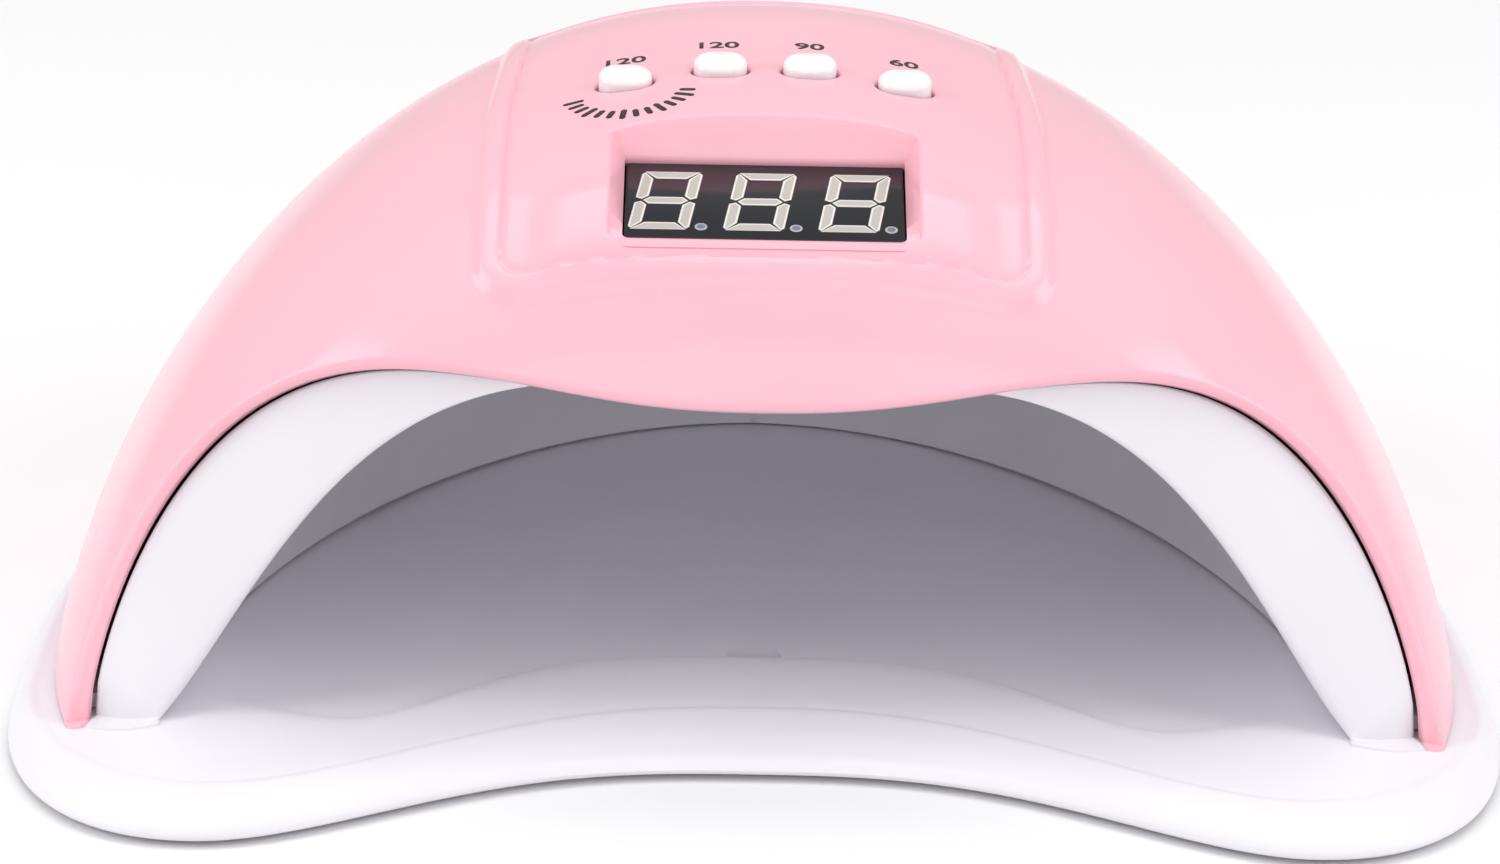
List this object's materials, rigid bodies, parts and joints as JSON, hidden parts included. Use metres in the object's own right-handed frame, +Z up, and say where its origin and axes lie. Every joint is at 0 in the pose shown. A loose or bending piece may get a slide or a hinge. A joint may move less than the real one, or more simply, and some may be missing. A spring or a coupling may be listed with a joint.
{
  "type": "uv led nail lamp",
  "caption": "Domed table lamp for curing gel nails, with an open hand cavity, a digital timer display, push keys and a lift-off base tray.",
  "frame": {"origin": "on the table surface, under the centre of the base tray's bounding box", "axes": "+Z up, +Y from the hand opening to the back, +X to the right seen from the hand opening; the lamp is symmetric about the YZ plane apart from its leads and sensor"},
  "size_m": [0.203, 0.1686, 0.085],
  "materials": {
    "tray_white": "satin moulded ABS, faint lavender white",
    "rubber_grey": "matt moulded rubber",
    "magnet_nickel": "bright nickel plating",
    "housing_pink": "high gloss moulded ABS, pale pink",
    "shell_white": "satin moulded ABS, faint lavender white",
    "screw_steel": "zinc plated steel",
    "board_green": "solder mask over woven glass board",
    "spacer_nylon": "natural nylon",
    "display_black": "polished black epoxy face",
    "segment_grey": "unlit milky diffuser",
    "pin_tin": "tinned brass",
    "component_black": "matt moulded epoxy",
    "ferrite_copper": "enamelled copper wire on ferrite",
    "capacitor_sleeve": "printed shrink sleeve",
    "connector_ivory": "natural nylon",
    "board_aluminium": "white solder mask on aluminium",
    "package_yellow": "phosphor-yellow light package",
    "lens_clear": "clear moulded lens, faint violet",
    "lens_dark": "dark infrared filter epoxy",
    "contact_gold": "gold flashed spring brass",
    "lead_pvc": "red and black PVC insulation",
    "key_white": "high gloss white ABS"
  },
  "bodies": {
    "base": {"base_tray": "tray_white", "tray_feet": "rubber_grey", "tray_magnets": "magnet_nickel"},
    "lamp_head": {"upper_housing": "housing_pink", "inner_shell": "shell_white", "sole_ring": "shell_white", "head_magnets": "magnet_nickel", "housing_screws": "screw_steel", "control_board": "board_green", "board_screws": "screw_steel", "board_spacers": "spacer_nylon", "display_body": "display_black", "display_segments": "segment_grey", "display_pins": "pin_tin", "switch_bodies": "component_black", "microcontroller": "component_black", "inductor": "ferrite_copper", "capacitor": "capacitor_sleeve", "power_transistors": "component_black", "board_connectors": "connector_ivory", "ceiling_led_board": "board_aluminium", "left_led_board": "board_aluminium", "right_led_board": "board_aluminium", "rear_led_board": "board_aluminium", "led_packages": "package_yellow", "led_lenses": "lens_clear", "sensor_emitter": "lens_clear", "sensor_receiver": "lens_dark", "jack_housing": "component_black", "jack_pin": "pin_tin", "jack_spring": "contact_gold", "power_leads": "lead_pvc", "light_leads": "lead_pvc", "light_board_screws": "screw_steel"},
    "low_heat_key": {"key_cap_1": "key_white", "key_plunger_1": "component_black"},
    "long_timer_key": {"key_cap_2": "key_white", "key_plunger_2": "component_black"},
    "middle_timer_key": {"key_cap_3": "key_white", "key_plunger_3": "component_black"},
    "short_timer_key": {"key_cap_4": "key_white", "key_plunger_4": "component_black"}
  },
  "joints": [
    {"name": "head_lift", "type": "slide", "parent": "base", "child": "lamp_head", "axis": [0, 0, 1], "range_m": [0, 0.11]},
    {"name": "low_heat_key_press", "type": "slide", "parent": "lamp_head", "child": "low_heat_key", "axis": [0, -0.2588, 0.9659], "range_m": [-0.0005, 0], "stiffness_N_per_m": 600},
    {"name": "long_timer_key_press", "type": "slide", "parent": "lamp_head", "child": "long_timer_key", "axis": [0, -0.2588, 0.9659], "range_m": [-0.0005, 0], "stiffness_N_per_m": 600},
    {"name": "middle_timer_key_press", "type": "slide", "parent": "lamp_head", "child": "middle_timer_key", "axis": [0, -0.2588, 0.9659], "range_m": [-0.0005, 0], "stiffness_N_per_m": 600},
    {"name": "short_timer_key_press", "type": "slide", "parent": "lamp_head", "child": "short_timer_key", "axis": [0, -0.2588, 0.9659], "range_m": [-0.0005, 0], "stiffness_N_per_m": 600}
  ]
}
